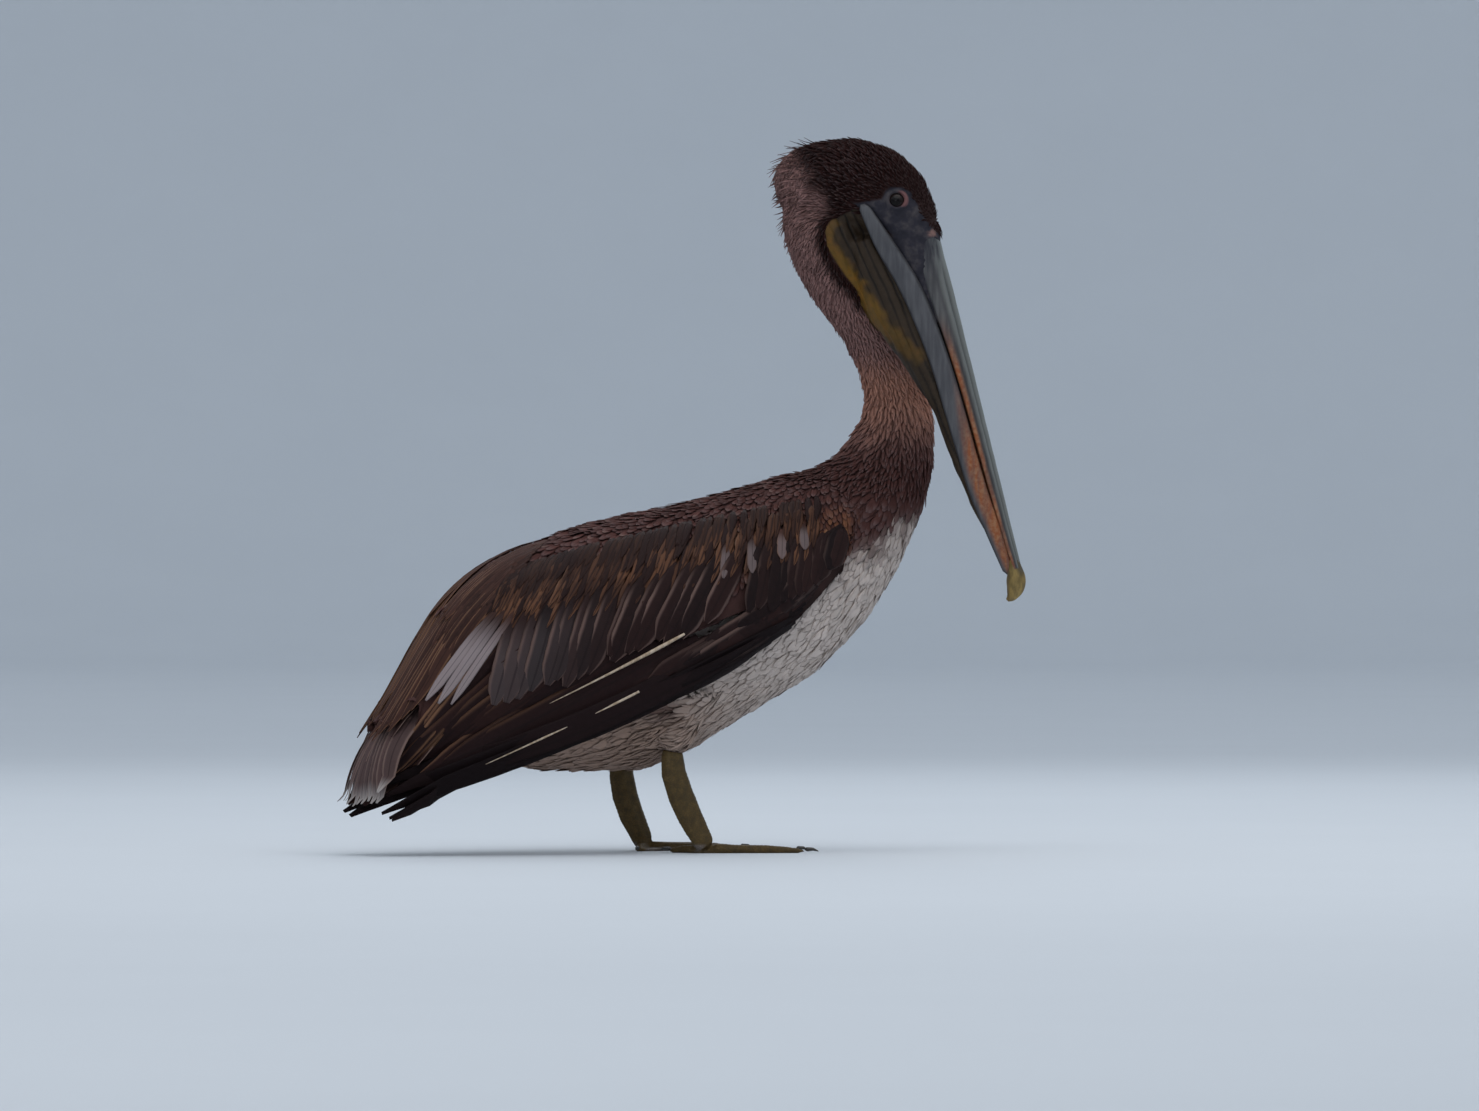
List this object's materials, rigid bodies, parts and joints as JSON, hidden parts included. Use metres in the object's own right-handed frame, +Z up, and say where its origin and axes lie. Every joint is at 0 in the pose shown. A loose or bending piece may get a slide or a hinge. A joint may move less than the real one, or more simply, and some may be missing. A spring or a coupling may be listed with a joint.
{
  "type": "brown pelican",
  "caption": "Young brown pelican standing on flat webbed feet with wings folded, neck in an S, head turned to its right and long pouched bill pointing down; a still, life-size model.",
  "frame": {"origin": "on the floor, under the middle of the bird's bounding box", "axes": "+X is the way the body faces, +Y is the bird's left and +Z is up"},
  "size_m": [0.5934, 0.2228, 0.6316],
  "materials": {
    "plumage_dark": "matt dark brown plumage",
    "plumage_taupe": "matt grey-brown plumage",
    "plumage_pale": "matt off-white plumage",
    "flight_feather": "blackish brown vanes with a slight sheen",
    "bill_horn": "slate-grey horn with an orange flush, semi-matt",
    "nail_horn": "yellow-olive horn, semi-matt",
    "pouch_skin": "bare olive skin, semi-matt",
    "eye_gloss": "dark brown, glossy",
    "leg_skin": "bare olive scaled skin, semi-matt",
    "foot_skin": "bare grey-pink web skin, semi-matt",
    "claw_horn": "dark horn, semi-matt"
  },
  "bodies": {
    "root": {"trunk": "plumage_pale", "neck_lower": "plumage_dark", "neck_middle": "plumage_taupe", "neck_upper": "plumage_taupe", "head": "plumage_dark", "eye_left": "eye_gloss", "eye_right": "eye_gloss", "maxilla": "bill_horn", "bill_nail": "nail_horn", "mandible": "bill_horn", "pouch": "pouch_skin", "wing_left": "plumage_dark", "wing_right": "plumage_dark", "primaries_left": "flight_feather", "primaries_right": "flight_feather", "tail": "flight_feather", "thigh_left": "plumage_pale", "thigh_right": "plumage_pale", "leg_left": "leg_skin", "leg_right": "leg_skin", "foot_left": "foot_skin", "foot_right": "foot_skin", "claw_left_1": "claw_horn", "claw_left_2": "claw_horn", "claw_left_3": "claw_horn", "claw_left_4": "claw_horn", "claw_right_1": "claw_horn", "claw_right_2": "claw_horn", "claw_right_3": "claw_horn", "claw_right_4": "claw_horn"}
  },
  "joints": []
}
